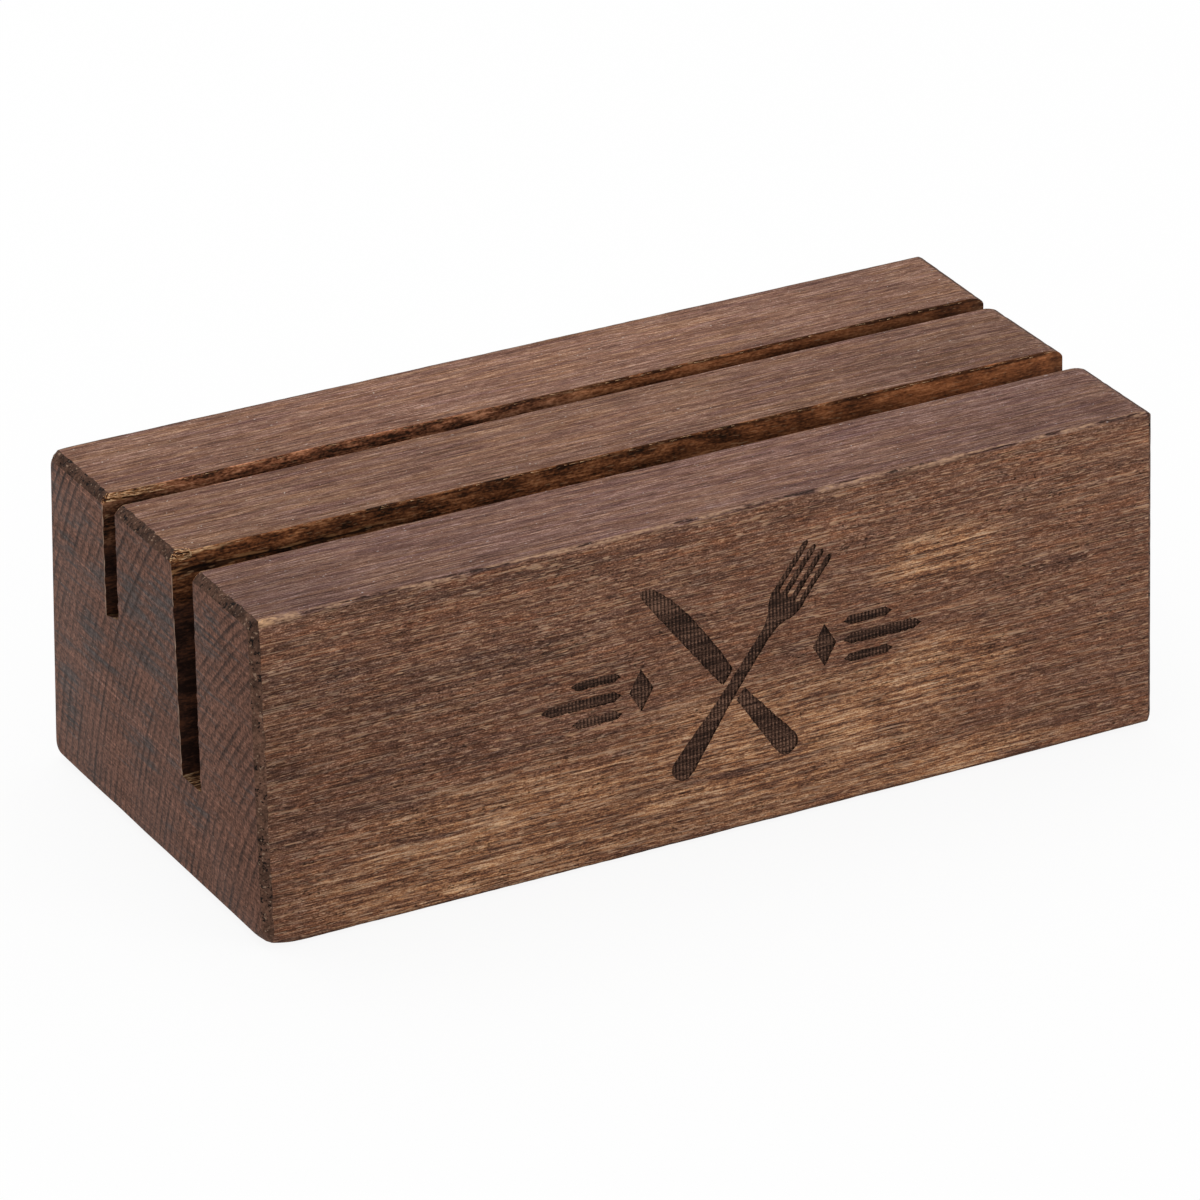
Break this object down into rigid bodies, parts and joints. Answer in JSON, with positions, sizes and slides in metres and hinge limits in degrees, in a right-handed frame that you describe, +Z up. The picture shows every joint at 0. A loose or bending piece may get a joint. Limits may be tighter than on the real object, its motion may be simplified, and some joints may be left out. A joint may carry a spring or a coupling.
{
  "type": "wooden menu holder",
  "caption": "Block of dark-stained hardwood with a narrow and a wide slot sawn along its top to hold menu cards upright, on low rubber feet.",
  "frame": {"origin": "on the table, under the middle of the block", "axes": "+X along the slots, -Y out of the front face, +Z up out of the slots"},
  "size_m": [0.15, 0.072, 0.0516],
  "materials": {
    "stained_wood": "brown-stained hardwood with open grain, satin, with sawn end grain and rougher sawn slots",
    "rubber": "matt dark rubber"
  },
  "bodies": {
    "root": {"slotted_block": "stained_wood", "foot_front_left": "rubber", "foot_front_right": "rubber", "foot_back_left": "rubber", "foot_back_right": "rubber"}
  },
  "joints": []
}
